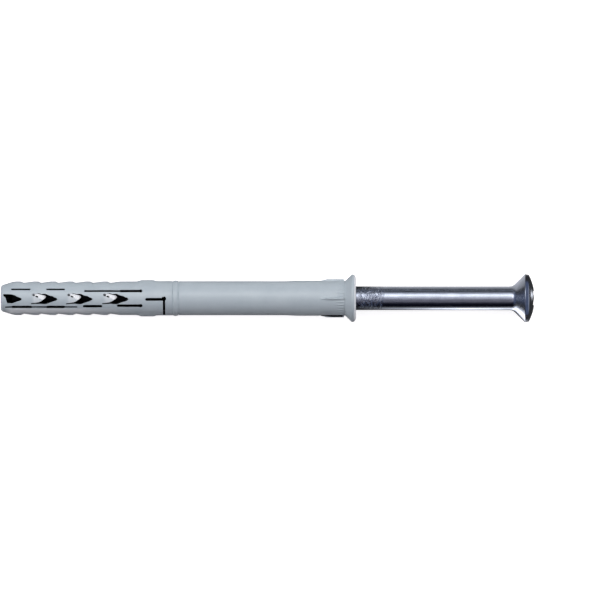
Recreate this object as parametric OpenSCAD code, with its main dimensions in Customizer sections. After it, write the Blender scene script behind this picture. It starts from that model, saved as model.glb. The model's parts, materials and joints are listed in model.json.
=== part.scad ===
// Frame plug: a slotted nylon sleeve with its raised countersunk screw standing in it.
// The plug lies along X, with its tip at -X and the screw's head at +X.
// The origin is the centre of the collar's outer face. The windows face +Z and -Z.
// Expansion features are placed by their distance from the tip, neck features from the collar.

/* [Sleeve] */
// Length of the sleeve, from its tip to the collar's face
sleeve_len = 100; // [90:1:160]
// Diameter of the smooth shaft, just under the drilled hole
shaft_d = 9.6; // [9.2:0.1:9.8]
// Diameter of the expansion zone
expansion_d = 9.5; // [9.1:0.1:9.7]
// Diameter of the plain band behind the expansion zone
band_d = 9.7; // [9.5:0.1:9.9]
// Length of the expansion zone, from the tip
expansion_len = 38.2; // [37:0.1:40]
// Depth of anchorage, from the tip to the setting ring
anchor_depth = 50; // [49:0.5:60]

/* [Tip] */
// Diameter of the tip's flat end
tip_face_d = 5.9; // [5:0.1:6.5]
// Rounding between the flat end and the lead-in cone
tip_round = 0.9; // [0.5:0.1:1.1]
// Length of the lead-in cone, with its rounding
tip_cone_len = 3.2; // [2.5:0.1:4.5]
// Diameter of the hole through the tip
tip_hole_d = 3.2; // [2:0.1:4]
// Length of the hole through the tip
tip_hole_len = 2.2; // [1.5:0.1:3]

/* [Bore] */
// Diameter of the bore in the shaft and neck
bore_d = 7.2; // [7.1:0.05:7.5]
// Diameter of the bore in the expansion zone
expansion_bore_d = 4.8; // [4:0.1:5.2]
// Length of the funnel that leads the screw into the expansion zone
funnel_len = 3.6; // [2:0.1:5]

/* [Barbs] */
// Number of barbs on each side
barb_count = 6; // [1:1:6]
// Distance from one barb to the next
barb_pitch = 4.87; // [4.2:0.01:5]
// Distance from the tip to the foot of the first barb
barb_start = 6.5; // [5:0.1:7]
// Depth of the notch in front of a barb
barb_depth = 0.38; // [0.1:0.02:0.5]
// Length of a barb's steep face
barb_steep = 0.85; // [0.3:0.05:1.2]
// Length of a barb's long ramp
barb_ramp = 2.9; // [1.5:0.1:3]
// How far the notches' axis lies across the plug, which sets how far they reach round it
barb_offset = 3; // [1:0.5:5]

/* [Windows] */
// Number of arrow windows on the front
window_count = 4; // [2:1:4]
// Distance from one window to the next
window_pitch = 10; // [9.5:0.1:10.2]
// Distance from the tip to the point of the first window
window_start = 5.9; // [5.6:0.1:6.2]
// Length of a window, from its point to the root of its tongue
window_len = 7; // [6.5:0.1:7.4]
// Width of a window
window_w = 2.8; // [2.2:0.1:3]
// Angle that the rows of windows stand below the middle of their face
window_turn = 3.3; // [0:0.1:4]
// Length of the window's pointed part
arrow_len = 3; // [2.4:0.1:3.2]
// How far the tongue's nose reaches back from the window's point
nose_back = 2.95; // [2.6:0.05:3.4]
// Width of the slit along each side of a tongue
tongue_slit = 0.3; // [0.2:0.05:0.4]
// How far the tongue's nose lies under the skin
nose_drop = 0.9; // [0.3:0.1:1.2]
// How much further back the nose's lower corner lies
nose_slant = 1.65; // [1.3:0.05:1.8]
// Length of the tongue's root, which is level with the skin
tongue_root = 1.6; // [1:0.1:2]
// Wall between the tip and the first window, which has no tongue
tip_wall = 0.7; // [0.6:0.05:1]

/* [Slots] */
// Width of the lower expansion slots
slot_w = 0.6; // [0.3:0.05:0.7]
// Width of the upper expansion slots
upper_slot_w = 0.45; // [0.3:0.05:0.6]
// Length of the short expansion slots
slot_len = 5.3; // [4:0.1:5.6]
// Angle from the middle of the front to the slots near the tip
slot_angle = 32; // [30:0.5:36]
// Angle from the middle of the front to the lower slot behind them
mid_slot_angle = 29; // [28:0.5:32]
// Angle from the middle of the front to the last slots
rear_slot_angle = 25.5; // [25:0.5:30]
// Diameter of the round end of the last slots
slot_eye_d = 0.85; // [0.5:0.05:1.1]
// Gap from the end of the last slots to the locking lugs' slots
slot_land = 1.1; // [0.8:0.1:1.5]
// Depth of the fine line that joins the lower slots
line_depth = 0.35; // [0.1:0.05:0.6]
// Width of the fine line that joins the lower slots
line_w = 0.25; // [0.1:0.05:0.3]

/* [Locking lugs] */
// Diameter over the lugs
lug_d = 10.26; // [9.9:0.02:10.4]
// Length of the lugs' level part
lug_flat = 2.9; // [2:0.1:3.5]
// Length of the slope at each end of a lug
lug_slope = 1.6; // [1:0.1:2]
// How far each lug's own axis lies from the plug's axis
lug_offset = 1.5; // [0.8:0.1:2]
// Length of the lug slot that runs along the plug
lug_slot_len = 5; // [4:0.1:5.4]
// Width of the lug slot that runs along the plug
lug_slot_w = 0.6; // [0.4:0.05:0.7]
// Angle that the slot along the plug stands below the middle of the front
lug_slot_angle = 4; // [3:0.5:8]
// Width of the lug slot that runs round the plug
lug_ring_slot_w = 0.75; // [0.5:0.05:0.9]
// Angle that the lug slot reaches past the middle of the front
lug_slot_past = 8; // [6:1:10]

/* [Setting ring] */
// Diameter over the setting ring
ring_d = 10; // [9.9:0.02:10.2]
// Radius of the ring's rounded crown, seen from the side
ring_crown = 2.1; // [1.5:0.1:2.3]

/* [Neck] */
// Diameter of the neck
neck_d = 9.9; // [9.8:0.05:10.2]
// Length of the neck, with the collar
neck_len = 16.9; // [15:0.1:30]
// Length of the taper from the shaft to the neck
neck_taper = 2.8; // [1:0.1:5]
// Diameter of the ribbed zone between the neck and the collar
rib_zone_d = 9.8; // [9.6:0.05:10]
// Length of the short taper from the neck to the ribbed zone
rib_zone_taper = 0.6; // [0.6:0.1:1]
// Number of ribs that stop the sleeve from turning
rib_count = 4; // [2:1:6]
// Length of a rib
rib_len = 6.7; // [4:0.1:8]
// Width of a rib
rib_w = 0.75; // [0.4:0.05:1.2]
// Height of a rib above the neck
rib_h = 0.4; // [0.1:0.01:0.5]
// Length of a rib's sloping start
rib_slope = 1.9; // [0.5:0.1:3]
// Angle of the first rib from the middle of the front
rib_angle = 1.5; // [0:0.5:15]
// Number of fine ridges round the neck under the collar
ridge_count = 36; // [0:4:40]
// Length of a fine ridge
ridge_len = 2.25; // [1:0.05:3]
// Height of a fine ridge above the neck
ridge_h = 0.13; // [0.05:0.01:0.3]

/* [Collar] */
// Diameter of the countersunk collar
collar_d = 13.36; // [12.5:0.02:15]
// Rounding of the collar's rim
rim_round = 0.9; // [0.5:0.05:1.1]
// Straight edge of the collar's rim
rim_edge = 0.3; // [0.1:0.05:0.6]
// Diameter of the collar's mouth
mouth_d = 11.5; // [11:0.1:11.5]

/* [Screw] */
// Length of the screw, with its head
screw_len = 104.7; // [95:0.05:120]
// Gap from the expansion zone's funnel to the screw's tip, before the screw is driven in
screw_gap = 0.125; // [0:0.005:5]
// Diameter of the plain shank
shank_d = 6.7; // [6.2:0.05:7]
// Diameter over the thread
thread_d = 7; // [6.8:0.05:7.05]
// Length of the thread, with its point
thread_len = 52; // [20:1:54]
// Length of the point
point_len = 5.5; // [3:0.1:8]
// Diameter of the head
head_d = 13.6; // [12:0.1:15]
// Straight edge of the head
head_edge = 1; // [0.2:0.05:1.2]
// Length of the small fillet under the head's cone
neck_fillet = 0.6; // [0.2:0.1:1]
// Size across the points of the six-lobe recess
recess_a = 6.75; // [5.6:0.05:7]
// Size across the hollows of the six-lobe recess
recess_b = 4.85; // [4:0.05:5]
// Radius of the recess's lobes
recess_lobe_r = 0.55; // [0.45:0.05:0.65]
// Depth of the recess, from the top of the head
recess_depth = 3.6; // [2:0.1:4.5]
// Height of the head's dome
dome_h = 1.75; // [1.5:0.05:2.5]

/* [Hidden] */
$fn = 64;
// Clear overlap that lets one cut run past the surface it opens
eps = 0.01;
past = 2;
tip_x = -sleeve_len;
shaft_r = shaft_d / 2;
expansion_r = expansion_d / 2;
band_r = band_d / 2;
neck_r = neck_d / 2;
rib_zone_r = rib_zone_d / 2;
collar_r = collar_d / 2;
bore_r = bore_d / 2;
expansion_bore_r = expansion_bore_d / 2;
mouth_r = mouth_d / 2;
tip_face_r = tip_face_d / 2;
ring_half = sqrt(pow(ring_crown, 2) - pow(ring_crown - ring_d / 2 + band_r, 2));
ring_x = tip_x + anchor_depth - ring_half;
collar_back_x = -(collar_r - rib_zone_r) - rim_round - rim_edge;
rib_end_x = collar_back_x - 0.4;
rib_start_x = rib_end_x - rib_len;
lug_start = expansion_len;
lug_end = lug_start + 2 * lug_slope + lug_flat;
lug_ring_slot = lug_end + lug_slope;
slot_end = lug_ring_slot - lug_slot_len - slot_land;
head_r = head_d / 2;
funnel_x = tip_x + lug_ring_slot - lug_ring_slot_w / 2;
screw_tip_x = funnel_x + screw_gap;
dome_x = screw_tip_x + screw_len - dome_h;
head_x = dome_x - head_edge;
head_cone_x = head_x - (head_r - shank_d / 2);
thread_r = thread_d / 2;
dome_r = (pow(head_r, 2) + pow(dome_h, 2)) / (2 * dome_h);

// Points on an arc of radius r round (cx, cy), from angle a0 to angle a1.
// A skip of 1 leaves out both ends.
function arc(cx, cy, r, a0, a1, steps = 8, skip = 0) =
    [for (i = [skip:steps - skip])
        let (a = a0 + (a1 - a0) * i / steps) [cx + r * cos(a), cy + r * sin(a)]];

// Outline of a slot with round ends, lying along X from its own start
function slot_outline(len, w) =
    concat(arc(len - w / 2, 0, w / 2, -90, 90), arc(w / 2, 0, w / 2, 90, 270));

// The six-lobe outline: round lobes out to size a, and hollows down to size b that meet them smoothly
function lobe_outline(a, b, lobe_r) =
    let (
        out = a / 2 - lobe_r,
        hollow_r = (pow(out, 2) + pow(b / 2, 2) - pow(lobe_r, 2) - out * b * cos(30))
            / (2 * out * cos(30) - b + 2 * lobe_r),
        far = b / 2 + hollow_r,
        turn = atan2(far * sin(30), far * cos(30) - out)
    )
    [for (k = [0:60:300]) each concat(
        arc(out * cos(k), out * sin(k), lobe_r, k - turn, k + turn),
        arc(far * cos(k + 30), far * sin(k + 30), hollow_r, k + 180 + turn, k + 240 - turn, 6, 1)
    )];

// Turns a profile of radius against distance into its place along X, radius towards +Y
module along_x() { rotate([90, 0, 90]) children(); }

module turned(points) { along_x() rotate_extrude() polygon(points); }

// Both sides of the moulding are alike under half a turn about the axis
module both_faces() { for (a = [0, 180]) rotate([a, 0, 0]) children(); }

module from_tip() { translate([tip_x, 0, 0]) children(); }

module sleeve_skin() {
    turned(concat(
        [[0, tip_x]],
        arc(tip_face_r, tip_x + tip_round, tip_round, -90, -20, 5),
        [
            [expansion_r - 0.15, tip_x + tip_cone_len],
            [expansion_r, tip_x + tip_cone_len + 1],
            [expansion_r, tip_x + lug_start],
            [band_r, tip_x + lug_start + lug_slope],
            [band_r, tip_x + anchor_depth],
            [shaft_r, tip_x + anchor_depth],
            [shaft_r, -neck_len - neck_taper],
            [neck_r, -neck_len],
            [neck_r, rib_start_x - rib_zone_taper],
            [rib_zone_r, rib_start_x],
            [rib_zone_r, collar_back_x],
            [collar_r, -rim_round - rim_edge]
        ],
        arc(collar_r - rim_round, -rim_round, rim_round, 0, 90),
        [[0, 0]]
    ));
}

// The bore opens in a countersink at the collar and narrows into the expansion zone
module sleeve_bore() {
    sink = mouth_r - bore_r;
    turned([
        [0, past],
        [mouth_r + past, past],
        [bore_r, -sink],
        [bore_r, funnel_x],
        [expansion_bore_r, funnel_x - funnel_len],
        [expansion_bore_r, tip_x + tip_hole_len + expansion_bore_r - tip_hole_d / 2],
        [tip_hole_d / 2, tip_x + tip_hole_len],
        [tip_hole_d / 2, tip_x - past],
        [0, tip_x - past]
    ]);
}

// One notch is a V turned about an axis beyond the plug, so that it fades out round the side
module barb_notch(foot) {
    reach = 1.5;
    foot_r = expansion_r - barb_depth + barb_offset;
    translate([0, -barb_offset, 0]) turned([
        [foot_r, foot],
        [foot_r + reach * barb_depth, foot - reach * barb_steep],
        [foot_r + reach * barb_depth, foot + reach * barb_ramp]
    ]);
}

module barb_notches() {
    both_faces() for (i = [0:barb_count - 1]) barb_notch(barb_start + i * barb_pitch);
}

// Each lug swells out of one side and fades towards the front and back
module locking_lugs() {
    lug_r = lug_d / 2 - lug_offset;
    root_r = lug_r - (lug_d - expansion_d) / 2 - 0.2;
    both_faces() translate([0, lug_offset, 0]) turned([
        [0, lug_start],
        [root_r, lug_start],
        [lug_r, lug_start + lug_slope],
        [lug_r, lug_start + lug_slope + lug_flat],
        [root_r, lug_end],
        [0, lug_end]
    ]);
}

module setting_ring() {
    translate([ring_x, 0, 0]) along_x() rotate_extrude() translate([ring_d / 2 - ring_crown, 0])
        circle(ring_crown);
}

// A cut of the given outline through the wall, at an angle from the middle of the front.
// Its floor lies at the given radius.
module wall_cut(angle, floor_r) {
    rotate([-angle, 0, 0]) translate([0, 0, floor_r])
        linear_extrude(expansion_r + past - floor_r) children();
}

module slot(start, end, angle, w = slot_w) {
    wall_cut(angle, expansion_bore_r / 2) translate([start, 0]) polygon(slot_outline(end - start, w));
}

module fine_line(start, end, angle) {
    wall_cut(angle, expansion_r - line_depth)
        translate([start, -line_w / 2]) square([end - start, line_w]);
}

function window_point(i) = window_start + i * window_pitch;

// Slots run beside the windows, and the last ones run on to a round eye
module expansion_slots() {
    lead = slot_len / 2;
    last = window_count - 1;
    both_faces() {
        for (i = [0:last - 1]) {
            near_tip = i < last - 1;
            start = window_point(i) - lead;
            end = window_point(i) + lead;
            if (near_tip) slot(start, end, slot_angle, upper_slot_w);
            slot(i == 0 ? tip_round + 0.4 : start, end, near_tip ? -slot_angle : -mid_slot_angle);
            if (i > 0) fine_line(window_point(i - 1) + lead - slot_w, start + slot_w, -slot_angle);
        }
        slot(window_point(last - 1) - lead + 0.3, slot_end, rear_slot_angle, upper_slot_w);
        slot(window_point(last) - lead, slot_end, -rear_slot_angle);
        for (side = [-1, 1]) wall_cut(side * rear_slot_angle, expansion_bore_r / 2)
            translate([slot_end - slot_eye_d / 2, 0]) circle(d = slot_eye_d);
    }
}

// The pointed end of a window, drawn from its point at [0, 0]: its upper and its lower edge
function arrow_top() = let (half = window_w / 2)
    [
        [0, 0],
        [-0.1 * arrow_len, 0.2 * half],
        [-0.36 * arrow_len, 0.33 * half],
        [-0.47 * arrow_len, 0.54 * half],
        [-arrow_len, half]
    ];
function arrow_bottom() = let (half = window_w / 2)
    [
        [-0.97 * arrow_len, -half],
        [-0.69 * arrow_len, -0.81 * half],
        [-0.4 * arrow_len, -0.56 * half],
        [-0.1 * arrow_len, -0.26 * half]
    ];

// The tongue's nose pushes into the window, and a slit runs back along each side of the tongue
module window_outline() {
    half = window_w / 2;
    thin = tongue_slit / 3;
    heel = -nose_back - nose_slant;
    polygon(concat(
        arrow_top(),
        [
            [-nose_back - 0.76 * nose_slant, half],
            [-window_len + 0.75 * tongue_root, half + thin],
            [-window_len + 0.75 * tongue_root, half - thin],
            [-nose_back - 0.67 * nose_slant, half - thin],
            [-nose_back - 0.21 * nose_slant, 0.67 * half],
            [-nose_back, 0.37 * half],
            [-nose_back - 0.09 * nose_slant, 0.04 * half],
            [-nose_back - 0.52 * nose_slant, -0.26 * half],
            [heel, tongue_slit - half],
            [-window_len, thin - half],
            [-window_len, -thin - half],
            [heel, -half]
        ],
        arrow_bottom()
    ));
}

// The first window runs up to the wall at the tip instead
module tip_window_outline() {
    half = window_w / 2;
    back = tip_wall - window_start;
    polygon(concat(
        arrow_top(),
        [
            [back, half],
            [back, 0.55 * half],
            [back + 0.15 * window_start, 0.2 * half],
            [back + 0.23 * window_start, -0.5 * half],
            [back + 0.27 * window_start, -0.95 * half]
        ],
        arrow_bottom()
    ));
}

// What the tongue loses, so that it falls from the skin at its root to its nose
module tongue_ramp() {
    half = window_w / 2;
    root = -window_len + tongue_root;
    nose = -nose_back + 0.15 * nose_slant;
    intersection() {
        rotate([90, 0, 0]) linear_extrude(window_w, center = true) polygon([
            [root, expansion_r + eps],
            [-nose_back, expansion_r - nose_drop],
            [nose, expansion_r - nose_drop],
            [nose, expansion_r + past],
            [root, expansion_r + past]
        ]);
        linear_extrude(expansion_r + past) polygon([
            [root, half - tongue_slit / 6],
            [-nose_back - 0.09 * nose_slant, half - tongue_slit / 6],
            [nose, 0.6 * half],
            [nose, -0.4 * half],
            [-nose_back - 0.33 * nose_slant, tongue_slit / 3 - half],
            [root, tongue_slit / 3 - half]
        ]);
    }
}

// Two small sink marks over the tongue's root
module tongue_pits() {
    for (p = [[0.3, 0.83, 2], [0.8, 0.53, 1.5]])
        translate([p[0] * tongue_root - window_len, p[1] * window_w / 2])
            circle(d = p[2] * tongue_slit, $fn = 24);
}

module arrow_window() {
    linear_extrude(expansion_r + past) window_outline();
    translate([0, 0, (expansion_bore_r + expansion_r) / 2 - 0.4]) linear_extrude(past * 2) tongue_pits();
    tongue_ramp();
}

// The windows at the back stand half a pitch away from those at the front
module arrow_windows() {
    rotate([window_turn, 0, 0]) {
        translate([window_point(0), 0, 0]) linear_extrude(expansion_r + past) tip_window_outline();
        for (i = [1:window_count - 1]) translate([window_point(i), 0, 0]) arrow_window();
        for (i = [0:window_count - 2])
            translate([window_point(i + 0.5), 0, 0]) rotate([180, 0, 0]) arrow_window();
    }
}

// An L-shaped slot lets each lug spring: along the front, then round the side
module lug_slots() {
    both_faces() {
        wall_cut(-lug_slot_angle, expansion_bore_r / 2) translate([lug_ring_slot - lug_slot_len, 0])
            polygon(slot_outline(lug_slot_len, lug_slot_w));
        translate([lug_ring_slot, 0, 0]) along_x()
            rotate_extrude(angle = 90 + lug_slot_past, start = 90 - lug_slot_past)
                translate([expansion_bore_r / 2, -lug_ring_slot_w / 2])
                    square([expansion_r + past - expansion_bore_r / 2, lug_ring_slot_w]);
    }
}

// A rib is a low bar that slopes up towards the collar
module neck_rib() {
    root = rib_zone_r - 0.4;
    rotate([90, 0, 0]) linear_extrude(rib_w, center = true) polygon([
        [rib_start_x, root],
        [rib_start_x, rib_zone_r - 0.05],
        [rib_start_x + rib_slope, rib_zone_r + rib_h],
        [rib_end_x, rib_zone_r + rib_h],
        [rib_end_x, root]
    ]);
}

module neck_ribs() {
    step = 360 / rib_count;
    for (k = [0:rib_count - 1]) rotate([rib_angle + k * step, 0, 0]) neck_rib();
}

// The fine ridges are the corners of one star that stands just out of the skin
module neck_ridges() {
    step = 180 / ridge_count;
    translate([rib_end_x - ridge_len, 0, 0]) along_x() linear_extrude(ridge_len) polygon([
        for (k = [0:2 * ridge_count - 1])
            let (r = rib_zone_r + (k % 2 == 0 ? ridge_h : -0.06), a = rib_angle + k * step)
            [r * cos(a), r * sin(a)]
    ]);
}

module plug_sleeve() color("lightsteelblue") difference() {
    union() {
        sleeve_skin();
        from_tip() locking_lugs();
        setting_ring();
        neck_ribs();
        neck_ridges();
    }
    sleeve_bore();
    from_tip() {
        barb_notches();
        expansion_slots();
        arrow_windows();
        lug_slots();
    }
}

// The dome is a ball's cap
function dome() = arc(0, dome_x + dome_h - dome_r, dome_r, asin(1 - dome_h / dome_r), 90, 12);

module screw_body() {
    turned(concat(
        [
            [0, screw_tip_x],
            [0.25, screw_tip_x],
            [thread_r, screw_tip_x + point_len],
            [thread_r, screw_tip_x + thread_len],
            [shank_d / 2, screw_tip_x + thread_len + 1],
            [shank_d / 2, head_cone_x - neck_fillet],
            [shank_d / 2 + 0.12, head_cone_x - neck_fillet / 4],
            [head_r, head_x]
        ],
        dome()
    ));
}

// The six-lobe recess has straight walls and a shallow cone for its floor
module drive_recess() {
    top = dome_x + dome_h;
    translate([top - recess_depth, 0, 0]) along_x()
        linear_extrude(recess_depth + past) polygon(lobe_outline(recess_a, recess_b, recess_lobe_r));
    turned([
        [0, top - recess_depth - recess_b / 6],
        [recess_b / 2 - 0.05, top - recess_depth + eps],
        [0, top - recess_depth + eps]
    ]);
}

module screw() color("silver") difference() {
    screw_body();
    drive_recess();
}

plug_sleeve();
screw();
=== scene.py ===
import bpy
import functools
import json
import math
import numpy as np
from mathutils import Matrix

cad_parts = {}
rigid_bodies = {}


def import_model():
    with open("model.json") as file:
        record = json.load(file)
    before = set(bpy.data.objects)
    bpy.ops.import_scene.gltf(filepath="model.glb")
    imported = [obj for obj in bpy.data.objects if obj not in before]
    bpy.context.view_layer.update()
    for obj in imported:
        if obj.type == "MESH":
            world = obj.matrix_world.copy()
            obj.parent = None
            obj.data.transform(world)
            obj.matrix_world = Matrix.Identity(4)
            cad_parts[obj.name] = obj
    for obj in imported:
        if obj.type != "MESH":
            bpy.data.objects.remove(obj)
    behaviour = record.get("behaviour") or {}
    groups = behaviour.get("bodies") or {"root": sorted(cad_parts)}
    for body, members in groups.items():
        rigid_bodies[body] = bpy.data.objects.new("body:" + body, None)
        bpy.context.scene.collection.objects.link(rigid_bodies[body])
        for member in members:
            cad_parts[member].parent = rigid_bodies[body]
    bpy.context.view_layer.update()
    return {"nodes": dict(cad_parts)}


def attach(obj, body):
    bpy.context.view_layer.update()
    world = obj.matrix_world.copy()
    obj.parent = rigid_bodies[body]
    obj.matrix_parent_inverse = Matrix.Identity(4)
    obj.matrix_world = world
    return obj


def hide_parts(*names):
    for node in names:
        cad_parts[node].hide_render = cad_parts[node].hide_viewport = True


# The nylon frame plug and its screw, dressed for the camera.
# Everything is worked out in millimetres along the plug's axis: t runs from the sleeve's tip to the collar,
# and turn is the angle round the axis from the middle of the front, towards +Y. MM brings it to metres.

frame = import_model()
SCENE = bpy.context.scene
MM = 0.001

# ---- sizes of the plug, in millimetres, as in the solids where they have them ----

SLEEVE = 100.0
EXPANSION_R, BAND_R, SHAFT_R, NECK_R, RIB_ZONE_R = 4.75, 4.85, 4.8, 4.95, 4.9
TIP_FACE_R, TIP_ROUND, TIP_ROUND_END = 2.95, 0.9, 0.592
BORE_R, EXPANSION_BORE_R, TIP_HOLE_R, MOUTH_R = 3.6, 2.4, 1.6, 5.75
COLLAR_R, CONE_END, RIM_FROM, RIM_ROUND, RIM_DROP = 6.68, 98.8, 99.1, 0.9, 1.15
BARB_FEET = [6.5 + i * 4.87 for i in range(6)]
BARB_DEEP, BARB_OFFSET, BARB_SOFT = 0.4, 3.0, 0.05
LUG_OFFSET, LUG_SOFT = 1.5, 0.07
RING_AT, RING_HALF, RING_ARC_R, RING_ARC_OFFSET = 49.22, 0.8, 2.1, 2.9
RING_LINE_DEEP, RING_LINE_W = 0.16, 0.11
RIBS, RIB_FROM, RIB_TO, RIB_RAMP, RIB_H, RIB_TURN = 4, 89.92, 96.62, 1.9, 0.5, math.radians(-1.8)
RIB_FOOT, RIB_TOP, RIB_HOLLOW_AT, RIB_HOLLOW_W, RIB_HOLLOW_DEEP = 0.48, 0.16, -0.6, 0.24, 0.45
RIDGES, RIDGE_H, RIDGE_SINK, RIDGE_RAMP = 36, 0.17, 0.04, (94.0, 95.3)
SCREW_TIP, SCREW_LEN, SHANK_R, HEAD_R = 45.65, 104.7, 3.35, 6.8
THREAD_R, THREAD_CORE_R, THREAD_PITCH, THREAD_FLANK = 3.5, 2.55, 3.4, 0.62
THREAD_END, THREAD_RUNOUT, POINT_LONG = 52.0, 1.5, 5.5
HEAD_EDGE, DOME_H = 1.0, 1.75
DOME_R = (HEAD_R ** 2 + DOME_H ** 2) / (2 * DOME_H)
RECESS_W, RECESS_WAIST, RECESS_LOBE_R, RECESS_DEEP = 6.75, 4.85, 0.55, 3.6

# Places of the cuts
WINDOWS, BACK_WINDOWS = (5.85, 15.9, 25.8, 35.9), (10.9, 20.9, 30.9)
WINDOW_TURN = math.radians(-3.3)
TONGUE_ROWS = ((WINDOW_TURN, WINDOWS[1:]), (math.pi + WINDOW_TURN, BACK_WINDOWS))
SLOT_TURN, MID_SLOT_TURN, REAR_SLOT_TURN = math.radians(32), math.radians(29), math.radians(25.5)
REAR_LOWER_TURN = -REAR_SLOT_TURN - math.radians(1.5)

# Outlines along the sleeve, each as (t, radius)
SKIN_LINE = (
    (TIP_ROUND_END, 3.796), (3.2, EXPANSION_R - 0.15), (4.2, EXPANSION_R), (38.2, EXPANSION_R), (39.8, BAND_R),
    (50.0, BAND_R), (50.06, SHAFT_R), (80.3, SHAFT_R), (83.1, NECK_R), (89.32, NECK_R), (RIB_FROM, RIB_ZONE_R),
    (97.02, RIB_ZONE_R), (CONE_END, COLLAR_R),
)
LUG_LINE = ((37.8, 3.05), (39.5, 3.63), (43.0, 3.63), (45.0, 3.05))
BORE_LINE = (
    (100, MOUTH_R), (99.9, MOUTH_R - 0.12), (97.9, BORE_R + 0.08), (97.8, BORE_R), (96, BORE_R), (80, BORE_R),
    (60, BORE_R), (45.6, BORE_R), (45.45, BORE_R - 0.05), (42, EXPANSION_BORE_R + 0.05),
    (41.85, EXPANSION_BORE_R), (30, EXPANSION_BORE_R), (16, EXPANSION_BORE_R), (3.1, EXPANSION_BORE_R),
    (2.2, TIP_HOLE_R), (0.2, TIP_HOLE_R), (0, TIP_HOLE_R + 0.15),
)

# The notch behind each barb, as (distance from the barb's foot, share of its depth)
BARB_NOTCH = ((-0.85, 0), (-0.06, 1), (0.1, 1), (2.9, 0))

# A cut reaches from its floor, given as a distance from the axis, to ABOVE. THROUGH lies inside the bore.
ABOVE, THROUGH = 7.5, 1.2

# The slots of one side: from, to, turn from the middle of that side, width, floor, and how round the rim is
SLOTS = (
    (2.9, 8.4, SLOT_TURN, 0.5, THROUGH, 0.1),
    (12.8, 18.1, SLOT_TURN, 0.5, THROUGH, 0.1),
    (23.5, 39.7, REAR_SLOT_TURN, 0.52, THROUGH, 0.1),
    (33.4, 39.7, REAR_SLOT_TURN, 0.74, THROUGH, 0.06),
    (1.2, 3.6, -SLOT_TURN, 0.52, 3.0, 0.04),
    (3.0, 8.9, -SLOT_TURN, 0.84, THROUGH, 0.05),
    (12.8, 18.2, -SLOT_TURN, 0.86, THROUGH, 0.05),
    (23.1, 28.6, -MID_SLOT_TURN, 0.84, THROUGH, 0.05),
    (32.7, 39.7, REAR_LOWER_TURN, 0.84, THROUGH, 0.05),
    (8.6, 13.2, -SLOT_TURN, 0.52, 3.2, 0.04),
    (17.9, 21.6, -SLOT_TURN, 0.48, 3.2, 0.04),
)
# The round eyes that the two long slots end in: place, turn, and width
EYES = ((39.4, REAR_SLOT_TURN, 0.95), (39.4, REAR_LOWER_TURN, 1.05))

# The L-shaped slot of a lug: its straight part, its eye, and the leg that runs round from the eye. The rear one
# stops just short of the bore, so that no light shows through both.
LUG_SLOT, LUG_SLOT_TURN, LUG_SLOT_W = (40.7, 45.9), math.radians(4.1), 0.78
LUG_EYE_AT, LUG_EYE_TURN, LUG_EYE_W = 45.95, math.radians(2), 1.25
LEG_AT, LEG_W, LEG_FROM, REAR_LEG_FROM, LEG_TO = 45.98, 0.64, 5, -3, -90
REAR_LUG_FLOOR = 3.75

# Outlines of the windows, along the sleeve and round it from the window's point
WINDOW = [
    (0.1, -0.05), (-0.22, 0.32), (-0.93, 0.57), (-1.35, 0.85), (-2.1, 0.97), (-2.62, 1.16), (-3.04, 1.44),
    (-3.65, 1.48), (-4.35, 1.4), (-5.5, 1.68), (-5.5, 1.52), (-4.3, 1.16), (-3.5, 0.96), (-3.16, 0.66),
    (-3.3, 0.34), (-3.6, 0.06), (-4.1, -0.3), (-4.6, -0.62), (-5.15, -0.88), (-6.0, -1.03), (-7.35, -1.2),
    (-7.4, -1.5), (-6.0, -1.36), (-4.87, -1.34), (-4.03, -1.42), (-3.3, -1.44), (-2.7, -1.27), (-2.06, -1.0),
    (-1.1, -0.7), (-0.37, -0.46),
]
TIP_WINDOW = [
    (0.1, -0.03), (-0.22, 0.34), (-1.0, 0.6), (-1.86, 1.05), (-2.7, 1.3), (-3.7, 1.37), (-4.53, 1.34),
    (-4.95, 1.38), (-5.25, 1.06), (-4.97, 0.7), (-4.62, 0.5), (-4.42, 0.0), (-4.25, -0.5), (-4.05, -1.1),
    (-3.6, -1.22), (-2.6, -1.22), (-1.3, -0.75), (-0.73, -0.58), (-0.2, -0.36),
]
# The two sink marks over a tongue's root: place along and round, length and width
PITS = ((-6.6, 1.16, 0.85, 0.68), (-5.7, 0.7, 0.88, 0.48))
# The two edges of a tongue, along the middles of its slits
TONGUE_LOW = ((-7.2, -1.36), (-6, -1.19), (-5.15, -1.1), (-4.6, -1.0), (-4.0, -0.9), (-3.3, -0.8), (-2.7, -0.7))
TONGUE_HIGH = ((-6.6, 1.4), (-5.5, 1.6), (-4.3, 1.33), (-3.3, 1.2), (-2.7, 1.0))


# ---- making meshes ----

def piece(name, points, faces):
    """A mesh from points in millimetres."""
    mesh = bpy.data.meshes.new(name)
    mesh.from_pydata([tuple(p) for p in np.asarray(points, float) * MM], [], faces)
    mesh.validate()
    obj = bpy.data.objects.new(name, mesh)
    SCENE.collection.objects.link(obj)
    return obj


def ring_faces(rows, count, closed_rows=False):
    """Quads between rows of count points each, where each row closes on itself."""
    faces = []
    for k in range(rows if closed_rows else rows - 1):
        a, b = k * count, (k + 1) % rows * count
        for i in range(count):
            j = (i + 1) % count
            faces.append((a + i, a + j, b + j, b + i))
    return faces


def end_faces(rows, count):
    """The two faces that close the first and the last row."""
    return [tuple(reversed(range(count))), tuple(range((rows - 1) * count, rows * count))]


def volume(points, faces):
    """Six times the volume inside, and less than 0 if the faces look inwards."""
    total = 0.0
    for f in faces:
        a = points[f[0]]
        for i in range(1, len(f) - 1):
            total += np.dot(a, np.cross(points[f[i]], points[f[i + 1]]))
    return total


def outwards(points, faces):
    """The faces of a closed shape, turned to look outwards."""
    return faces if volume(points, faces) > 0 else [tuple(reversed(f)) for f in faces]


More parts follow.
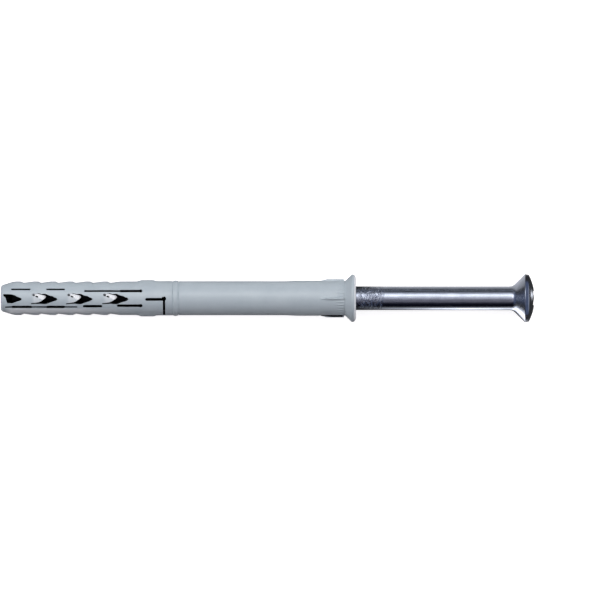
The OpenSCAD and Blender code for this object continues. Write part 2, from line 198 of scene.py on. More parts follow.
def smooth_edges(obj, angle):
    """Smooth shading, except at edges sharper than the angle."""
    obj.data.shade_smooth()
    obj.data.set_sharp_from_angle(angle=math.radians(angle))


def turns(segments):
    """Equal steps round the axis, from the front."""
    return np.arange(segments) * 2 * math.pi / segments


def around(x, radius, turn):
    """Points round the axis at x, where radius is one number or one for each turn."""
    return np.stack([np.full(len(turn), x), radius * np.sin(turn), radius * np.cos(turn)], 1)


# ---- curves of one number ----

def soft_min(a, b, k):
    """The lower of two numbers, with the corner where they cross rounded over k."""
    h = np.clip(0.5 + 0.5 * (b - a) / k, 0, 1)
    return b * (1 - h) + a * h - k * h * (1 - h)


def soft_max(a, b, k):
    """The higher of two numbers, rounded in the same way."""
    return -soft_min(-a, -b, k)


def step(x, low, high):
    """Rises smoothly from 0 at low to 1 at high, or falls where high is the lower of the two."""
    u = np.clip((x - low) / (high - low), 0, 1)
    return u * u * (3 - 2 * u)


def bell(x, middle, width):
    """A smooth bump, 1 at its middle."""
    return np.exp(-(((x - middle) / width) ** 2))


def on_line(x, stops):
    """The value at x on straight lines through stops of (place, value)."""
    places, values = zip(*stops)
    return np.interp(x, places, values)


# ---- the sleeve's outside ----

def base_radius(t):
    """Radius of the sleeve before its barbs, lugs, ring and ribs."""
    t = np.asarray(t, float)
    tip_rise = TIP_ROUND ** 2 - (TIP_ROUND - np.minimum(t, TIP_ROUND_END)) ** 2
    tip = TIP_FACE_R + np.sqrt(np.maximum(tip_rise, 0))
    rim_fall = np.sqrt(np.maximum(1 - (np.maximum(t - RIM_FROM, 0) / RIM_ROUND) ** 2, 0))
    rim = COLLAR_R - RIM_DROP + RIM_DROP * rim_fall
    return np.where(t < TIP_ROUND_END, tip, np.where(t > CONE_END, rim, on_line(t, SKIN_LINE)))


def barb_reach(t, side):
    """Radius left by the barbs' notches, each turned about a line BARB_OFFSET past the plug's middle."""
    left = np.full(np.broadcast(t, side).shape, 9.0)
    for foot in BARB_FEET:
        depth = on_line(t, [(foot + away, share) for away, share in BARB_NOTCH])
        near = (t > foot - 1.2) & (t < foot + 3.3)
        out = EXPANSION_R + 0.03 - BARB_DEEP * depth + BARB_OFFSET
        reach = -BARB_OFFSET * side + np.sqrt(out ** 2 - BARB_OFFSET ** 2 * (1 - side ** 2))
        left = np.where(near, np.minimum(left, reach), left)
    return left


def rib_rise(t, turn):
    """Height of the four ribs, with a hollow along each, and of the fine ridges over the neck's last stretch."""
    rise = np.zeros(np.broadcast(t, turn).shape)
    stop = step(t, RIB_TO + 0.12, RIB_TO - 0.02)
    slope = np.clip((t - RIB_FROM) / RIB_RAMP, 0, 1) * stop
    for k in range(RIBS):
        away = (turn - RIB_TURN + 2 * math.pi / RIBS * k + math.pi) % (2 * math.pi) - math.pi
        rise = np.maximum(rise, RIB_H * slope * step(np.abs(away) * RIB_ZONE_R, RIB_FOOT, RIB_TOP))
        rise = rise - RIB_HOLLOW_DEEP * slope * bell(away * RIB_ZONE_R, RIB_HOLLOW_AT, RIB_HOLLOW_W)
    ridge = 0.5 + 0.5 * np.cos(RIDGES * (turn - RIB_TURN))
    return np.maximum(rise, (RIDGE_H * ridge - RIDGE_SINK) * (step(t, *RIDGE_RAMP) * stop))


def skin(t, turn):
    """Radius of the sleeve's outside at t, in direction turn."""
    t, turn = np.asarray(t, float), np.asarray(turn, float)
    r = base_radius(t) + np.zeros(np.broadcast(t, turn).shape)
    side = np.abs(np.sin(turn))
    r = soft_min(r, barb_reach(t, side), BARB_SOFT)
    lug = on_line(t, LUG_LINE)
    swell = LUG_OFFSET * side + np.sqrt(np.maximum(lug ** 2 - LUG_OFFSET ** 2 * (1 - side ** 2), 0))
    r = np.where((t > LUG_LINE[0][0]) & (t < LUG_LINE[-1][0]), soft_max(r, swell, LUG_SOFT), r)
    ring = RING_ARC_OFFSET + np.sqrt(np.maximum(RING_ARC_R ** 2 - (t - RING_AT) ** 2, 0))
    r = np.where(np.abs(t - RING_AT) < RING_HALF, np.maximum(r, ring), r)
    for foot in (RING_AT - RING_HALF, RING_AT + RING_HALF):
        r = r - RING_LINE_DEEP * bell(t, foot, RING_LINE_W)
    return r + rib_rise(t, turn)


def sleeve_stations():
    """Where the rows of the sleeve's skin lie: close together where its outline changes."""
    rows = [0, 0.03, 0.1, 0.2, 0.32, 0.45, TIP_ROUND_END, 1.2, 2.0, 2.8, 3.2, 3.5, 3.8, 4.2, 4.8]
    for foot in BARB_FEET:
        rows += [foot + away for away in (
            -1.0, -0.88, -0.8, -0.6, -0.4, -0.2, -0.08, 0, 0.1, 0.2, 0.5, 1.0, 1.6, 2.2, 2.7, 2.86, 3.0)]
    for first, last, gap in (
            (34.8, 38, 0.8), (38.0, 44.7, 0.2), (48.2, 50.3, 0.06), (51, 80, 2.0), (84, 89, 1.0),
            (90.2, 94, 0.3), (94, 96.5, 0.15)):
        rows += list(np.arange(first, last, gap))
    rows += [45.3, 46, 46.8, 47.6, 80.1, 80.5, 81.2, 82, 82.8, 83.3, 89.25, 89.4, 89.6, 89.8, 89.95]
    rows += [96.55, 96.6, 96.64, 96.68, 96.72, 96.76, 96.9, 97.0, 97.1, 97.4, 97.8, 98.2, 98.6, 98.75, 98.85]
    rows += [RIM_FROM + RIM_ROUND * math.sin(math.radians(a)) for a in (0, 12, 24, 36, 48, 60, 70, 80, 90)]
    return np.array(sorted(set(round(r, 4) for r in rows)))


def sleeve_body(segments=240):
    """The sleeve as one closed wall: its skin, the collar's face and mouth, and the bore."""
    turn, t = turns(segments), sleeve_stations()
    rows = list(zip(t, skin(t[:, None], turn[None, :]))) + list(BORE_LINE)
    points = np.concatenate([around(x - SLEEVE, r, turn) for x, r in rows])
    return piece("sleeve", points, outwards(points, ring_faces(len(rows), segments, closed_rows=True)))


# ---- the cuts through the sleeve's wall ----

def rounded(corners, radius, steps=3):
    """The outline with each corner turned into a short curve."""
    corners = np.asarray(corners, float)
    out = []
    for i, p in enumerate(corners):
        a, b = corners[i - 1] - p, corners[(i + 1) % len(corners)] - p
        la, lb = np.linalg.norm(a), np.linalg.norm(b)
        start, end = p + a * min(radius / la, 0.45), p + b * min(radius / lb, 0.45)
        for s in np.linspace(0, 1, steps + 1):
            out.append((1 - s) ** 2 * start + 2 * s * (1 - s) * p + s * s * end)
    return np.array(out)


def stadium(length, width, steps=6):
    """Outline of a slot with round ends, from its own start at 0."""
    r = width / 2
    angle = np.radians(np.linspace(-90, 90, steps + 1))
    right = np.stack([length - r + r * np.cos(angle), r * np.sin(angle)], 1)
    left = np.stack([r - r * np.cos(angle), -r * np.sin(angle)], 1)
    return np.concatenate([right, left])


def grown(outline, by):
    """The outline moved outwards by a distance."""
    after, before = np.roll(outline, -1, 0), np.roll(outline, 1, 0)
    ahead, behind = after - outline, outline - before
    tangent = ahead / np.linalg.norm(ahead, axis=1)[:, None] + behind / np.linalg.norm(behind, axis=1)[:, None]
    tangent /= np.maximum(np.linalg.norm(tangent, axis=1), 1e-6)[:, None]
    area = np.sum(outline[:, 0] * after[:, 1] - outline[:, 1] * after[:, 0])
    normal = np.stack([tangent[:, 1], -tangent[:, 0]], 1) * np.sign(area)
    return outline + normal * by


def flare(rim):
    """How a cut's wall rounds out to its rim, as steps of (distance outwards, distance under the surface)."""
    steps = []
    for angle in (0, 25, 50, 70, 86):
        a = math.radians(angle)
        steps.append((rim * (1 - math.cos(a)), rim * (1 - math.sin(a))))
    return steps + [(rim + 0.02, -0.07)]


def cutter(outline, place, floor, top, rim):
    """A punch of the given outline. It flares just under the surface that it cuts, which rounds the cut's rim.
    place(points, depth) gives the points that depth under the surface, and place(points, None, h) at
    height h."""
    rings = [place(outline, None, floor)]
    rings += [place(grown(outline, out), under) for out, under in flare(rim)]
    rings.append(place(grown(outline, flare(rim)[-1][0]), None, top))
    faces = ring_faces(len(rings), len(outline)) + end_faces(len(rings), len(outline))
    points = np.concatenate(rings)
    return points, outwards(points, faces)


def wall_place(at, turn, straight=False):
    """Places an outline on the sleeve's wall, at t and in a direction round it.
    Seen from that side, a straight one keeps its distance from the axis where the tip grows thin."""
    def place(outline, depth, height=None):
        x, y = outline[:, 0] + at, outline[:, 1]
        if straight:
            thin = np.clip(EXPANSION_R / skin(np.clip(x, 0.3, 99), turn) * math.sin(turn), -1, 1)
            bearing = np.arcsin(thin) if math.cos(turn) > 0 else math.pi - np.arcsin(thin)
            y = y + EXPANSION_R * np.sin(bearing - turn)
        if height is None:
            r = skin(np.clip(x, 0.05, 99), turn + np.arcsin(np.clip(y / EXPANSION_R, -1, 1)))
            z = np.sqrt(np.maximum(r ** 2 - y ** 2, 0.01)) - depth
        else:
            z = np.full(len(x), float(height))
        return np.stack([x - SLEEVE, y * math.cos(turn) + z * math.sin(turn),
                         z * math.cos(turn) - y * math.sin(turn)], 1)
    return place


def window_cut(at, turn, corners):
    """A window right through the wall, with its point at t."""
    return cutter(rounded(corners, 0.12), wall_place(at, turn), 0.0, ABOVE, 0.07)


def slot_cut(start, end, turn, width, floor, rim):
    """A straight slot with round ends."""
    return cutter(stadium(end - start, width), wall_place(start, turn, True), floor, ABOVE, rim)


def eye_cut(at, turn, across, floor=THROUGH):
    """A round hole at the end of a slot."""
    a = np.radians(np.arange(0, 360, 20))
    circle = np.stack([across / 2 * np.cos(a), across / 2 * np.sin(a)], 1)
    return cutter(circle, wall_place(at, turn), floor, ABOVE, 0.1)


def pit_cuts(at, turn):
    """The blind sink marks over a tongue's root, which are ovals that lean a little."""
    a = np.radians(np.arange(0, 360, 24))
    for x, y, long, wide in PITS:
        u, v = long / 2 * np.cos(a), wide / 2 * np.sin(a)
        oval = np.stack([x + u * 0.95 + v * 0.3, y - u * 0.3 + v * 0.95], 1)
        yield cutter(oval, wall_place(at, turn), 3.3, ABOVE, 0.04)


def past_fold(x, y):
    """How far a point of a tongue lies past the fold along it, on the side of the window's point."""
    return (x + 3.89) * 0.44 + (y - 0.34) * 0.9


def tongue_drop(x, y):
    """How far the tongue lies under the skin: a lit facet by the window, and a level lobe with a creased end."""
    fold = past_fold(x, y)
    facet = np.clip(fold + 0.35, 0, None) * 0.48 * step(x, -6.5, -5.6)
    crease = 0.14 * bell(fold, -0.44, 0.12) * step(x, -6.2, -5.8) * step(x, -4.3, -4.6)
    round_lobe = np.hypot(np.maximum(x + 5.4, 0), y + 0.15) - 0.72
    end_crease = 0.16 * bell(round_lobe, 0, 0.13) * step(x, -5.5, -5.2) * step(y, -0.75, -0.4)
    tip = 0.45 * step(x, -4.1, -3.0)
    return facet + np.maximum(crease, end_crease) + tip


def tongue_cut(at, turn, across=25, along=41):
    """What a tongue loses from its top, between the middles of its two slits."""
    x = np.linspace(-6.6, -2.72, along)
    share = np.linspace(0, 1, across)
    grid = np.array([[(a, low + (high - low) * s) for s in share]
                     for a, low, high in zip(x, on_line(x, TONGUE_LOW), on_line(x, TONGUE_HIGH))]).reshape(-1, 2)
    place = wall_place(at, turn)
    drop = tongue_drop(grid[:, 0], grid[:, 1]) - 0.02
    points, half = np.concatenate([place(grid, drop), place(grid, None, ABOVE)]), len(grid)
    faces = []
    for i in range(along - 1):
        for j in range(across - 1):
            a = i * across + j
            faces.append((a, a + 1, a + across + 1, a + across))
            faces.append((half + a, half + a + across, half + a + across + 1, half + a + 1))
    edge = [j for j in range(across)] + [i * across + across - 1 for i in range(1, along)]
    edge += [(along - 1) * across + j for j in range(across - 2, -1, -1)]
    edge += [i * across for i in range(along - 2, 0, -1)]
    for a, b in zip(edge, edge[1:] + edge[:1]):
        faces.append((b, a, half + a, half + b))
    return points, outwards(points, faces)


def ring_slot_cut(at, start, end, width, rim, steps=48):
    """A slot that runs round the sleeve from one angle to another, in degrees from the front."""
    half = [(width / 2 + out, -under) for out, under in flare(rim)]
    section = [(width / 2, None)] + half + [(half[-1][0], 2.5)]
    section += [(-x, rise) for x, rise in reversed(section)]
    points = []
    for turn in np.radians(np.linspace(start, end, steps)):
        surface = float(skin(at, turn))
        for x, rise in section:
            r = THROUGH if rise is None else surface + rise
            points.append((at + x - SLEEVE, r * math.sin(turn), r * math.cos(turn)))
    points = np.array(points)
    return points, outwards(points, ring_faces(steps, len(section)) + end_faces(steps, len(section)))


def rib_gap(back):
    """A narrow gap that frees a side rib from the neck, open towards the front, or towards the back half a turn
    on."""
    way = math.cos(back)
    outline = ((RIB_FROM + 0.25, -4.74), (RIB_TO - 0.5, -4.74), (RIB_TO - 0.2, -5.0), (RIB_TO - 0.5, -5.3),
               (RIB_FROM + 1.7, -5.3), (RIB_FROM + 0.1, -4.9))
    points = np.array([(x - SLEEVE, way * y, way * z) for z in (-0.35, 2.0) for x, y in outline])
    return points, outwards(points, ring_faces(2, len(outline)) + end_faces(2, len(outline)))


def sleeve_cuts():
    """Every cut in the sleeve. Both sides are alike under half a turn, but for the places of the windows and
    the depth of the L-shaped slot."""
    for back in (0, math.pi):
        for start, end, turn, width, floor, rim in SLOTS:
            yield slot_cut(start, end, back + turn, width, floor, rim)
        for at, turn, across in EYES:
            yield eye_cut(at, back + turn, across)
        floor, leg_from = (REAR_LUG_FLOOR, REAR_LEG_FROM) if back else (THROUGH, LEG_FROM)
        yield slot_cut(*LUG_SLOT, back - LUG_SLOT_TURN, LUG_SLOT_W, floor, 0.05)
        yield eye_cut(LUG_EYE_AT, back - LUG_EYE_TURN, LUG_EYE_W, floor)
        yield ring_slot_cut(LEG_AT, math.degrees(back) + leg_from, math.degrees(back) + LEG_TO, LEG_W, 0.08)
        yield rib_gap(back)
    yield window_cut(WINDOWS[0], WINDOW_TURN, TIP_WINDOW)
    for turn, places in TONGUE_ROWS:
        for at in places:
            yield window_cut(at, turn, WINDOW)
            yield tongue_cut(at, turn)
            yield from pit_cuts(at, turn)


def carve(obj, cuts):
    """Takes the cuts out of the object for good."""
    tools = bpy.data.collections.new("cuts")
    SCENE.collection.children.link(tools)
    for i, (points, faces) in enumerate(cuts):
        cut = piece(f"cut_{i}", points, faces)
        SCENE.collection.objects.unlink(cut)
        tools.objects.link(cut)
    change = obj.modifiers.new("carve", "BOOLEAN")
    change.operation, change.operand_type, change.collection = "DIFFERENCE", "COLLECTION", tools
    change.solver = "MANIFOLD"
    bpy.context.view_layer.update()
    carved = bpy.data.meshes.new_from_object(obj.evaluated_get(bpy.context.evaluated_depsgraph_get()))
    obj.modifiers.clear()
    obj.data = carved
    for cut in list(tools.objects):
        bpy.data.objects.remove(cut)
    bpy.data.collections.remove(tools)
    return obj


# ---- what the nylon's finish reads from the sleeve's mesh ----

def threes(items, name):
    """Three numbers from each point or face of a mesh."""
    values = np.empty(len(items) * 3)
    items.foreach_get(name, values)
    return values.reshape(-1, 3)


def note(mesh, name, domain, values):
    """Keeps a number for each point or face of a mesh, under a name that a finish reads."""
    mesh.attributes.new(name, "FLOAT", domain).data.foreach_set("value", values)


def under_skin(t, turn, reach):
    """How far each point lies under the skin, in millimetres, which sets the painted shade. The gaps at the ribs
    and the L-shaped slots count for more than they are, so that their floors get painted shade."""
    under = np.where((t > 0.7) & (t < 96.6), skin(t, turn) - reach, 0)
    under = np.where((t > RIB_FROM) & (under > 0.05), under + 0.5, under)
    return np.where((np.abs(t - 43.6) < 3.2) & (under > 0.9), under + 0.5, under)


def painted_highlight(t, turn, reach, y):
    """How much painted highlight the nylon gets where light catches it: on the tongues, most on their lit facets,
    on the collar's lip, and on the strip beside the lower slots."""
    white = np.zeros(len(t))
    for middle, places in TONGUE_ROWS:
        for place in places:
            u, v = t - place, reach * np.sin(turn - middle)
            low = on_line(u, ((-7.2, -1.28), (-5.15, -1.0), (-4.6, -0.9), (-4.0, -0.75), (-3.3, -0.6)))
            on = (u > -7.1) & (u < -2.9) & (v > low) & (v < 1.55) & (np.cos(turn - middle) > 0) & (reach > 3.4)
            facet = step(past_fold(u, v), -0.75, -0.3)
            spread = step(u, -7.1, -6.3) * step(v, 1.6, 1.35)
            white = np.maximum(white, on * spread * (0.35 + 0.65 * facet))
    lip = 0.8 * step(t - SLEEVE, -0.6, -0.25) * step(reach, 5.6, 6.2)
    strip = step(y, -2.7, -3.05) * step(y, -4.5, -3.9) * step(t, 1.0, 3.0)
    strip = strip * on_line(t, ((0, 0.6), (22, 0.5), (26, 0.3), (38, 0.0))) * (reach > 3.9)
    return np.maximum(white, np.maximum(lip, strip))


def cut_walls(mesh):
    """1 for each face that stands across the skin, as a cut's wall does, and 0 for one that lies along it."""
    normal, centre = threes(mesh.polygons, "normal"), threes(mesh.polygons, "center") / MM
    reach = np.hypot(centre[:, 1], centre[:, 2])
    outward = (normal[:, 1] * centre[:, 1] + normal[:, 2] * centre[:, 2]) / np.maximum(reach, 1e-6)
    return np.clip((0.78 - outward) / 0.2, 0, 1)


def mark_hollows(mesh):
    """Notes how far each point lies under the skin, which sets the painted shade, how much painted highlight it
    gets, and which faces are walls of a cut.
    """
    at = threes(mesh.vertices, "co") / MM
    t, turn, reach = at[:, 0] + SLEEVE, np.arctan2(at[:, 1], at[:, 2]), np.hypot(at[:, 1], at[:, 2])
    note(mesh, "under_skin", "POINT", under_skin(t, turn, reach))
    note(mesh, "painted_highlight", "POINT", painted_highlight(t, turn, reach, at[:, 1]))
    note(mesh, "cut_wall", "FACE", cut_walls(mesh))


def make_sleeve():
    """The sleeve as a finer mesh than its solid, with every cut."""
    sleeve = carve(sleeve_body(), sleeve_cuts())
    smooth_edges(sleeve, 32)
    mark_hollows(sleeve.data)
    sleeve.name = "moulded_sleeve"
    return sleeve


# ---- the screw ----

def thread_radius(s, turn):
    """Radius of the screw at s from its tip, where its thread winds round."""
    phase = (s / THREAD_PITCH - turn / (2 * math.pi)) % 1.0
    height = np.clip(1.12 - np.abs(phase - 0.5) * THREAD_PITCH / THREAD_FLANK, 0, 1)
    runout = np.clip((THREAD_END - s) / THREAD_RUNOUT, 0, 1)
    crest = THREAD_CORE_R + (THREAD_R - THREAD_CORE_R) * height * runout
    point = np.clip(0.06 + s / POINT_LONG, 0, 1) ** 0.8
    return np.where(s < THREAD_END, crest * point, SHANK_R)


def dome_height(r):
    """Where the head's dome, a ball's cap, lies along the screw at a radius."""
    return SCREW_LEN - DOME_R + np.sqrt(DOME_R ** 2 - r ** 2)


def screw_stations():
    """Rows along the screw, as (distance from its tip, radius), with no radius where the thread gives it."""
    rows = [(s, None) for s in np.arange(0, THREAD_END + 0.2, 0.17)]
    head = SCREW_LEN - DOME_H
    cone = head - HEAD_EDGE - (HEAD_R - SHANK_R)
    rows += [(s, SHANK_R) for s in np.arange(53, cone - 0.9, 3.0)]
    rows += [(cone + d, SHANK_R + rise) for d, rise in (
        (-1.0, 0), (-0.6, 0.03), (-0.25, 0.1), (0.05, 0.22), (0.3, 0.38), (0.6, 0.6), (1.0, 1.0), (1.7, 1.7),
        (2.4, 2.4), (2.8, 2.8))]
    rows += [(head + d, HEAD_R - drop) for d, drop in (
        (-1.2, 0.21), (-1.06, 0.07), (-1.0, 0.018), (-0.96, 0), (-0.91, 0.005), (-0.7, 0.042), (-0.5, 0.078),
        (-0.3, 0.115), (-0.12, 0.15), (0.02, 0.185))]
    rows += [(dome_height(r), r) for r in (6.5, 6.3, 6.0, 5.6, 5.2, 4.6, 4.0, 3.4, 2.8, 2.2, 1.6, 1.0, 0.4)]
    return rows


def screw_body(segments=128):
    """The screw as one closed turned shape, with its thread and without its recess."""
    turn, rows = turns(segments), screw_stations()
    points = np.concatenate([
        around(SCREW_TIP - SLEEVE + s, thread_radius(np.full(segments, s), turn) if r is None else r, turn)
        for s, r in rows
    ])
    faces = ring_faces(len(rows), segments) + end_faces(len(rows), segments)
    return piece("screw_turned", points, outwards(points, faces))


def six_lobes():
    """Outline of the drive recess: round lobes, and hollows that meet them smoothly."""
    lobe = RECESS_LOBE_R
    out, half = RECESS_W / 2 - lobe, RECESS_WAIST / 2
    c30 = math.cos(math.radians(30))
    hollow = (out ** 2 + half ** 2 - lobe ** 2 - 2 * out * half * c30) / (2 * (out * c30 - half + lobe))
    far = half + hollow
    meet = math.atan2(far * 0.5, far * c30 - out)
    points = []
    for k in range(6):
        at = math.radians(60 * k)
        for s in np.linspace(-1, 1, 10):
            points.append((out * math.cos(at) + lobe * math.cos(at + s * meet),
                           out * math.sin(at) + lobe * math.sin(at + s * meet)))
        mid = at + math.radians(30)
        spread = meet - math.radians(30)
        for s in np.linspace(1, -1, 9)[1:-1]:
            angle = mid + math.pi + s * spread
            points.append((far * math.cos(mid) + hollow * math.cos(angle),
                           far * math.sin(mid) + hollow * math.sin(angle)))
    return np.array(points)


def recess_cut():
    """The six-lobe recess, with its rim rounded where it meets the dome."""
    top = SCREW_TIP - SLEEVE + SCREW_LEN

    def place(outline, under, height=None):
        y, z = outline[:, 0], outline[:, 1]
        r = np.minimum(np.hypot(y, z), HEAD_R - 0.01)
        if height is None:
            x = top - SCREW_LEN + dome_height(r) - under
        else:
            x = np.full(len(y), float(height))
        return np.stack([x, y, z], 1)

    return cutter(six_lobes(), place, top - RECESS_DEEP, top + 1, 0.16)


def make_screw():
    """The screw with its thread's turns and its recess."""
    screw = carve(screw_body(), [recess_cut()])
    smooth_edges(screw, 30)
    screw.name = "plated_screw"
    return screw


# ---- building node trees ----

def feed(tree, value, socket):
    """Sets a socket to a number or colour, or links it to the socket that its value comes from."""
    if isinstance(value, bpy.types.NodeSocket):
        tree.links.new(value, socket)
    else:
        socket.default_value = value


def tree_node(tree, kind, **settings):
    """A node with its properties and inputs set, where an underscore stands for a space in an input's name."""
    made = tree.nodes.new(kind)
    for key, value in settings.items():
        if key in made.bl_rna.properties:
            setattr(made, key, value)
        else:
            feed(tree, value, made.inputs[key.replace("_", " ")])
    return made


def maths(tree, operation, *values, clamp=False):
    """One sum in a node tree, of numbers or sockets."""
    made = tree_node(tree, "ShaderNodeMath", operation=operation, use_clamp=clamp)
    for socket, value in zip(made.inputs, values):
        feed(tree, value, socket)
    return made.outputs[0]


def past(tree, x, edge, slope):
    """0 up to an edge, and rising to 1 past it. Where the slope is negative, it rises the other way."""
    if isinstance(edge, bpy.types.NodeSocket):
        return maths(tree, "MULTIPLY", maths(tree, "SUBTRACT", x, edge), slope, clamp=True)
    return maths(tree, "MULTIPLY_ADD", x, slope, -edge * slope, clamp=True)


def mixed(tree, factor, first, second):
    """A colour between two others."""
    made = tree_node(tree, "ShaderNodeMix", data_type="RGBA")
    for name, value in (("Factor", factor), ("A", first), ("B", second)):
        feed(tree, value, made.inputs[name])
    return made.outputs["Result"]


def coordinates(tree, kind="Object"):
    """The place that is shaded, whole and as its X, Y and Z."""
    where = tree_node(tree, "ShaderNodeTexCoord").outputs[kind]
    apart = tree_node(tree, "ShaderNodeSeparateXYZ", Vector=where)
    return where, apart.outputs["X"], apart.outputs["Y"], apart.outputs["Z"]


def noise(tree, where, scale, detail, roughness=0.5):
    """Even noise, at a number per metre."""
    made = tree_node(tree, "ShaderNodeTexNoise", Vector=where, Scale=scale, Detail=detail, Roughness=roughness)
    return made.outputs["Fac"]


def from_mesh(tree, name):
    """A number that was noted on the mesh."""
    return tree_node(tree, "ShaderNodeAttribute", attribute_name=name).outputs["Fac"]


def bumped(tree, shader, height, strength, distance):
    """Makes a height show as relief, where distance is in metres."""
    bump = tree_node(tree, "ShaderNodeBump", Strength=strength, Distance=distance, Height=height)
    feed(tree, bump.outputs["Normal"], shader.inputs["Normal"])


def new_group(name, inputs, outputs):
    """An empty node group, with the sockets that bring its inputs and those that take its outputs."""
    tree = bpy.data.node_groups.new(name, "ShaderNodeTree")
    for label, value in inputs:
        made = tree.interface.new_socket(name=label, in_out="INPUT", socket_type="NodeSocketFloat")
        made.default_value = value
    for label in outputs:
        tree.interface.new_socket(name=label, in_out="OUTPUT", socket_type="NodeSocketFloat")
    return tree, tree.nodes.new("NodeGroupInput").outputs, tree.nodes.new("NodeGroupOutput").inputs


def group_node(tree, group, **values):
    """A group placed in a material with its own values. Gives its outputs."""
    made = tree.nodes.new("ShaderNodeGroup")
    made.node_tree = group
    for key, value in values.items():
        made.inputs[key].default_value = value
    return made.outputs


def new_material(name):
    """A material, with its node tree and its shader."""
    material = bpy.data.materials.new(name)
    material.use_nodes = True
    return material, material.node_tree, material.node_tree.nodes["Principled BSDF"]


# ---- finishes ----

# Painted shade: the near black given to the sleeve's cut walls, deep floors and bore, and to the screw inside the
# bore
PAINTED_SHADE = (0.008, 0.008, 0.009, 1)
NYLON_DARKER, NYLON_LIGHTER = (0.435, 0.501, 0.549, 1), (0.536, 0.597, 0.636, 1)
# Painted highlight: the near white that the tongues, the collar's lip and a strip beside the lower slots are
# lightened towards
NYLON_PAINTED_HIGHLIGHT = (0.96, 0.97, 0.99, 1)
ZINC_DARKER, ZINC_LIGHTER = (0.31, 0.337, 0.41, 1), (0.525, 0.561, 0.66, 1)

# A floor this far under the skin, in millimetres, starts to get painted shade
DEEP_FLOOR = 1.18


def grain_group():
    """Fine grain and slow cloudiness, each at its own number per metre."""
    tree, given, out = new_group(
        "surface grain", [("Grain", 2500.0), ("Cloud", 150.0)], ["Height", "Cloudiness"])
    where = coordinates(tree)[0]
    feed(tree, noise(tree, where, given["Grain"], 4.0, 0.6), out["Height"])
    feed(tree, noise(tree, where, given["Cloud"], 3.0, 0.6), out["Cloudiness"])
    return tree


def cut_shade_group():
    """Painted shade of the cuts, given as how lit a point in the wall is left: 1 on the skin and on the tongues,
    falling to 0 down the walls of the cuts and on the floors of the deep ones."""
    tree, given, out = new_group("painted shade in the cuts", [("Light to", 0.05), ("Dark from", 0.28)], ["Light"])
    under = from_mesh(tree, "under_skin")
    span = maths(tree, "SUBTRACT", given["Dark from"], given["Light to"])
    share = maths(tree, "DIVIDE", maths(tree, "SUBTRACT", under, given["Light to"]), span, clamp=True)
    down_wall = maths(tree, "MULTIPLY", share, from_mesh(tree, "cut_wall"))
    dark = maths(tree, "MAXIMUM", down_wall, past(tree, under, DEEP_FLOOR, 5.0))
    feed(tree, maths(tree, "SUBTRACT", 1.0, dark), out["Light"])
    return tree


def streak_group():
    """Lines drawn along the wire, crossing marks where the shank was gripped, and the part outside the bore,
    which the painted shade inside the bore leaves alone.
    """
    tree, given, out = new_group(
        "drawn wire", [("Marks from", 0.0004), ("Marks to", 0.0085), ("Painted shade from", -0.004)],
        ["Streaks", "Marks", "Outside"])
    where, x, y, z = coordinates(tree)
    stretched = tree_node(tree, "ShaderNodeMapping", Vector=where, Scale=(0.06, 1.0, 1.0)).outputs["Vector"]
    feed(tree, noise(tree, stretched, 5200.0, 3.0, 0.55), out["Streaks"])
    # Outside is 0 where the bore's painted shade lies, deeper than 4 mm inside the collar's face, and 1 from 1 mm
    # inside it
    feed(tree, past(tree, x, given["Painted shade from"], 330.0), out["Outside"])
    turn = maths(tree, "ARCTAN2", y, z)
    wander = noise(tree, where, 620.0, 4.0, 0.7)
    ridges = []
    for way, pace in ((1.0, 3300.0), (-1.0, 2700.0)):
        along = maths(tree, "MULTIPLY_ADD", x, pace, maths(tree, "MULTIPLY", turn, way * 4.2))
        wave = maths(tree, "SINE", maths(tree, "MULTIPLY_ADD", wander, 11.0, along))
        ridges.append(maths(tree, "POWER", maths(tree, "ABSOLUTE", wave), 3.0))
    worn = past(tree, noise(tree, where, 900.0, 2.0), 0.35, 4.0)
    marks = maths(tree, "MULTIPLY", maths(tree, "MAXIMUM", *ridges), worn)
    marks = maths(tree, "MULTIPLY", marks, past(tree, x, given["Marks from"], 900.0))
    feed(tree, maths(tree, "MULTIPLY", marks, past(tree, given["Marks to"], x, 500.0)), out["Marks"])
    return tree


def nylon(grain, depth):
    """Moulded nylon: cool light grey, satin, with a fine grain, painted highlights on the tongues, the collar's
    lip and a strip beside the lower slots, and painted shade down the cuts' walls, on deep floors and in the
    bore."""
    material, tree, shader = new_material("moulded_nylon")
    texture = group_node(tree, grain, Grain=3600.0, Cloud=260.0)
    # How far the painted shade of the cuts leaves each point lit
    light = group_node(tree, depth)["Light"]
    tint = mixed(tree, texture["Cloudiness"], NYLON_DARKER, NYLON_LIGHTER)
    # Painted highlight on the tongues, the collar's lip and a strip beside the lower slots
    tint = mixed(tree, from_mesh(tree, "painted_highlight"), tint, NYLON_PAINTED_HIGHLIGHT)
    # Painted shade: near black down the cuts' walls, on deep floors and in the bore
    feed(tree, mixed(tree, light, PAINTED_SHADE, tint), shader.inputs["Base Color"])
    # Nothing shines in the painted shade: as near black metal, it mirrors almost nothing
    feed(tree, maths(tree, "SUBTRACT", 1.0, light), shader.inputs["Metallic"])
    shader.inputs["Specular IOR Level"].default_value = 0.8
    shader.inputs["IOR"].default_value = 1.53
    feed(tree, maths(tree, "MULTIPLY_ADD", texture["Height"], 0.14, 0.28), shader.inputs["Roughness"])
    bumped(tree, shader, texture["Height"], strength=0.25, distance=0.00004)
    return material


